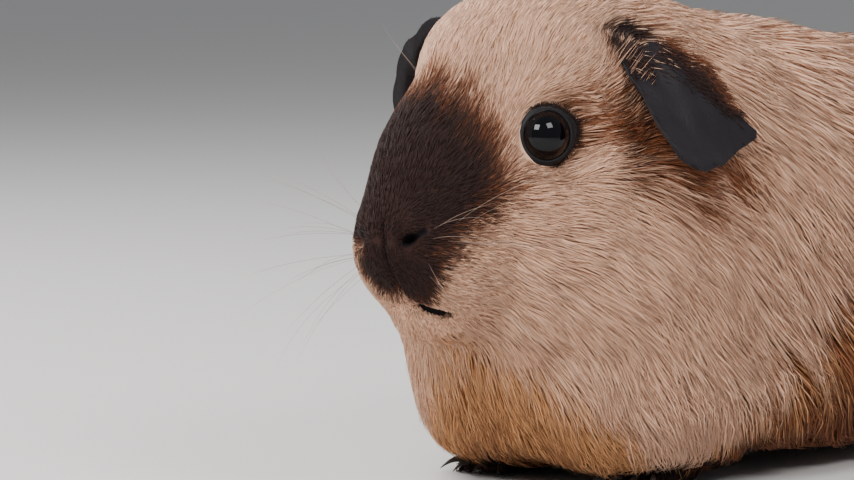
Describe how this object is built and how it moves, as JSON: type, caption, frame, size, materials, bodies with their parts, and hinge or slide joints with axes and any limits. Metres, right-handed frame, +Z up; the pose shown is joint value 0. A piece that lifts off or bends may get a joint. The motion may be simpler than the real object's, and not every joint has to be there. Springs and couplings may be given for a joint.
{
  "type": "guinea pig model",
  "caption": "Standing guinea pig, cream with dark nose, ears and feet, head raised; a still life-size model divided into head, neck, trunk, ears, eyes, legs, feet and claws",
  "frame": {"origin": "on the floor, under the middle of the whole animal's box", "axes": "+X forward along the trunk, +Y to the animal's left, +Z up; the soles lie in the plane z = 0"},
  "size_m": [0.2343, 0.0916, 0.0946],
  "materials": {
    "coat_cream": "short soft fur, cream to buff",
    "coat_dark": "very short dark chocolate fur",
    "ear_skin": "thin bare slate-black skin with a faint sheen",
    "eye": "wet, glossy, near black",
    "claw": "dark horn, satin"
  },
  "bodies": {
    "root": {"head": "coat_cream", "neck": "coat_cream", "trunk": "coat_cream", "ear_left": "ear_skin", "ear_right": "ear_skin", "eye_left": "eye", "eye_right": "eye", "foreleg_left": "coat_cream", "foreleg_right": "coat_cream", "hindleg_left": "coat_cream", "hindleg_right": "coat_cream", "forefoot_left": "coat_dark", "forefoot_right": "coat_dark", "hindfoot_left": "coat_dark", "hindfoot_right": "coat_dark", "foreclaw_left_1": "claw", "foreclaw_left_2": "claw", "foreclaw_left_3": "claw", "foreclaw_left_4": "claw", "foreclaw_right_1": "claw", "foreclaw_right_2": "claw", "foreclaw_right_3": "claw", "foreclaw_right_4": "claw", "hindclaw_left_1": "claw", "hindclaw_left_2": "claw", "hindclaw_left_3": "claw", "hindclaw_right_1": "claw", "hindclaw_right_2": "claw", "hindclaw_right_3": "claw"}
  },
  "joints": []
}
